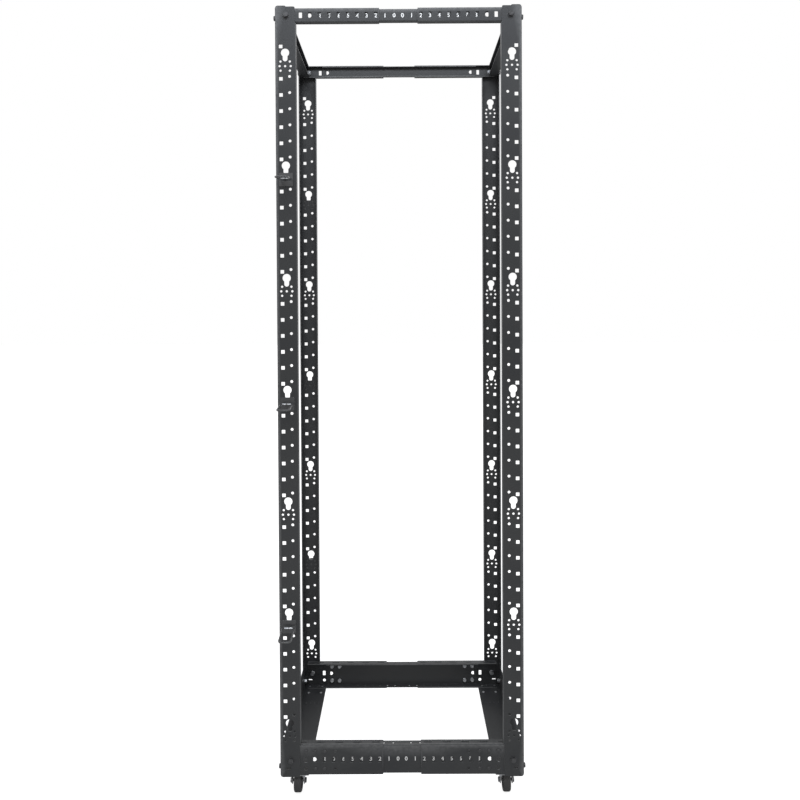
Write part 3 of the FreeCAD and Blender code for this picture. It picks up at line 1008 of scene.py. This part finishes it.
print("cable rings: 6")

# %% [markdown]
# A swivel caster is four parts. A plate is bolted under the beam and carries a cup for the balls.
# A fork is pressed from one sheet: a round crown and two legs that lean back, so that the wheel
# trails behind the pivot. A wheel has a hard tread round a dished hub, and a bolt is its axle.

# %% the casters' plates
CASTER_PLATE = 3.0 * MM


def local(node):
    """Centre and size of a node's box, both as vectors."""
    lo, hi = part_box(node)
    return (lo + hi) / 2, hi - lo


for where, _, _ in CORNERS:
    centre, size = local("caster_mount_" + where)
    lo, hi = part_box("caster_mount_" + where)
    bolt_in = size.x / 2 - 9.0 * MM
    spots = [(a * bolt_in, b * bolt_in) for a in (-1, 1) for b in (-1, 1)]
    loops = [window(0, 0, size.x, size.y, 5.0 * MM, 5)]
    loops += [slot(u, v, 7.0 * MM, 10.0 * MM) for u, v in spots]
    plate = make_sheet("caster_plate", loops, [],
                       lambda u, v, w: (centre.x + u, centre.y + v, hi.z - w), CASTER_PLATE)
    add_piece("caster_plate_" + where, plate, ZINC, ROOT, "caster_mount_" + where)
    cup_top = hi.z - CASTER_PLATE
    low = lo.z / MM
    profile = [(20.0, low), (20.6, low + 0.8), (20.6, low + 2.6), (18.6, low + 4.2),
               (17.4, cup_top / MM + 0.2)]
    cup = [disc(r * MM, z * MM, 40) for r, z in profile]
    stacks = [(cup, Matrix.Translation((centre.x, centre.y, 0)), False)]
    for u, v in spots:
        x, y = centre.x + u, centre.y + v
        above = bolt_place((x, y, foot_lo.z + SHEET), (0, 0, 1))
        below = bolt_place((x, y, cup_top), (0, 0, -1), 15)
        stacks.append((button_head(4.6 * MM, 2.6 * MM), above, False))
        stacks.append((hex_head(10.0 * MM, 4.2 * MM), below, False))
    solid_piece("caster_race_" + where, stacks, ZINC, ROOT)
print("caster plates: 4")

# %% the forks, folded from a flat pattern
def fork(where):
    """A crown and two legs, leaning from the pivot to the axle."""
    lo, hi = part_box("caster_fork_" + where)
    pivot = local("caster_mount_" + where)[0]
    axle = local("caster_wheel_" + where)[0]
    bends = Channel(hi.z - lo.z, hi.x - lo.x, hi.z - lo.z, 4.0 * MM)
    crown = 19.0 * MM
    eye = 10.0 * MM                    # half the width of a leg's end
    middle = bends.on_web(bends.web / 2)
    trail = axle.y - pivot.y
    drop = hi.z - axle.z
    legs = (bends.on_first(drop), bends.on_second(drop))
    left = arc(legs[0], trail, eye, 90, 270, 10)
    right = arc(legs[1], trail, eye, -90, 90, 10)
    near = arc(middle, 0, crown, -65, -115, 8)
    far = arc(middle, 0, crown, 115, 65, 8)
    outline = left + near[::-1] + right + far[::-1]
    holes = [round_hole(leg, trail, 4.1 * MM) for leg in legs]

    def place(u, v, w):
        a, b = bends.folded(u, w)
        return (lo.x + a, pivot.y + v, hi.z - b)

    return make_sheet("fork_" + where, [outline] + holes, bends.fold_lines(), place, 2.5 * MM)


for where, _, _ in CORNERS:
    add_piece("fork_" + where, fork(where), ZINC, "swivel_" + where, "caster_fork_" + where)
print("forks: 4")

# %% wheels and axles
def wheel_profile(half, radius):
    """Radius and width positions round the section of a wheel, from the bore outwards and back."""
    rim = radius - 9.0 * MM
    hub = 11.0 * MM
    edge = half - 0.2 * MM
    dish = half - 6.0 * MM
    side = [(4.2 * MM, half - 1.0 * MM), (hub - 1.0 * MM, half - 1.0 * MM), (hub, half - 2.0 * MM),
            (hub + 0.5 * MM, dish), (rim - 0.5 * MM, dish), (rim, half - 1.6 * MM),
            (rim + 0.8 * MM, half - 0.6 * MM), (radius - 5.0 * MM, edge)]
    tread = []
    for i in range(1, 8):
        angle = math.radians(90 * i / 7)
        tread.append((radius - 5.0 * MM * (1 - math.sin(angle)),
                      edge - 4.8 * MM * (1 - math.cos(angle))))
    one = side + tread
    return one + [(r, -x) for r, x in reversed(one)]


CROSSWAYS = Matrix.Rotation(math.radians(90), 4, "Y")
for where, _, _ in CORNERS:
    centre, size = local("caster_wheel_" + where)
    rings = [disc(r, x, 64) for r, x in wheel_profile(size.x / 2, centre.z)]
    wheel = [(rings, Matrix.Translation(centre) @ CROSSWAYS, True)]
    solid_piece("wheel_" + where, wheel, WHEEL_RUBBER, "roller_" + where, "caster_wheel_" + where)
    a_centre, a_size = local("caster_axle_" + where)
    grip = size.x / 2 + 7.3 * MM       # from the middle to the outer side of the fork
    shank = [disc(3.95 * MM, -grip, 20), disc(3.95 * MM, grip, 20)]
    stacks = [(shank, Matrix.Translation(a_centre) @ CROSSWAYS, False)]
    for direction in (-1, 1):
        spot = (a_centre.x + direction * grip, a_centre.y, a_centre.z)
        stacks.append((hex_head(13.0 * MM, a_size.x / 2 - grip),
                       bolt_place(spot, (direction, 0, 0), 10), False))
    solid_piece("axle_" + where, stacks, DARK_STEEL, "swivel_" + where, "caster_axle_" + where)
print("wheels and axles: 4")

# %% [markdown]
# The camera stands a little above the rack's middle and looks nearly level, with the picture
# shifted down so that uprights stay upright. The main light is one long panel close above and in
# front, so the steel fades from grey at the top to nearly black at the foot. Three weak panels
# lift the sides and the foot.

# %% camera
camera_data = bpy.data.cameras.new("camera")
camera = bpy.data.objects.new("camera", camera_data)
bpy.context.scene.collection.objects.link(camera)
bpy.context.scene.camera = camera
camera_data.sensor_width = 36.0
camera_data.lens = 34.91
camera_data.shift_y = -0.097
camera_data.clip_end = 60.0
camera.location = (0.0054, -2.4170, 1.3763)
tilt_roll_yaw = (90 - 0.813, 0.30, 0.131)
camera.rotation_euler = Euler([math.radians(angle) for angle in tilt_roll_yaw], "XYZ")
print("camera at", tuple(camera.location))

# %% lights, world and floor
def area_light(name, location, target, size_x, size_y, power, colour=(1, 1, 1)):
    """A soft rectangular lamp that faces a point."""
    data = bpy.data.lights.new(name, "AREA")
    data.shape = "RECTANGLE"
    data.size = size_x
    data.size_y = size_y
    data.energy = power
    data.color = colour
    lamp = bpy.data.objects.new(name, data)
    bpy.context.scene.collection.objects.link(lamp)
    lamp.location = location
    lamp.rotation_euler = (Vector(target) - Vector(location)).to_track_quat("-Z", "Y").to_euler()


area_light("key", (0.1, -1.0, 3.0), (0, -0.1, 1.2), 2.2, 0.5, 31, (0.88, 0.93, 1.0))
area_light("side_left", (-2.2, -0.3, 0.9), (0, 0, 0.8), 0.9, 1.8, 5)
area_light("side_right", (2.2, -0.3, 0.9), (0, 0, 0.8), 0.9, 1.8, 5)
area_light("low", (0.0, -1.5, 0.5), (0, 0.2, 0.1), 1.4, 0.4, 2.5)

scene = bpy.context.scene
scene.view_settings.view_transform = "Standard"
world = bpy.data.worlds.new("studio")
scene.world = world
world.use_nodes = True
tree = world.node_tree
background = tree.nodes["Background"]
background.inputs["Color"].default_value = (1, 1, 1, 1)
paths = add_node(tree, "ShaderNodeLightPath")
seen = add_node(tree, "ShaderNodeMath", operation="MAXIMUM")
strength = add_node(tree, "ShaderNodeMapRange")
strength.inputs["To Min"].default_value = 0.46
strength.inputs["To Max"].default_value = 1.0
link = tree.links.new
link(paths.outputs["Is Camera Ray"], seen.inputs[0])
link(paths.outputs["Is Glossy Ray"], seen.inputs[1])
link(seen.outputs["Value"], strength.inputs["Value"])
link(strength.outputs["Result"], background.inputs["Strength"])

floor_mesh = bpy.data.meshes.new("floor")
reach = 30.0
floor_corners = [(x, y, 0) for x, y in rectangle(-reach, reach, -reach, reach)]
floor_mesh.from_pydata(floor_corners, [], [(0, 1, 2, 3)])
floor = bpy.data.objects.new("floor", floor_mesh)
scene.collection.objects.link(floor)
floor_paint = bpy.data.materials.new("floor_paint")
floor_paint.use_nodes = True
tree = floor_paint.node_tree
shader = tree.nodes["Principled BSDF"]
shader.inputs["Base Color"].default_value = (0.80, 0.80, 0.80, 1)
shader.inputs["Roughness"].default_value = 0.9
paths = add_node(tree, "ShaderNodeLightPath")
choice = add_node(tree, "ShaderNodeMixShader")
link = tree.links.new
link(paths.outputs["Is Camera Ray"], choice.inputs["Fac"])
for number, power in ((1, 0.0), (2, 0.80)):
    glow = add_node(tree, "ShaderNodeEmission")
    glow.inputs["Strength"].default_value = power
    link(glow.outputs["Emission"], choice.inputs[number])
total = add_node(tree, "ShaderNodeAddShader")
link(choice.outputs["Shader"], total.inputs[0])
link(shader.outputs["BSDF"], total.inputs[1])
link(total.outputs["Shader"], tree.nodes["Material Output"].inputs["Surface"])
floor_mesh.materials.append(floor_paint)
print("stage ready")
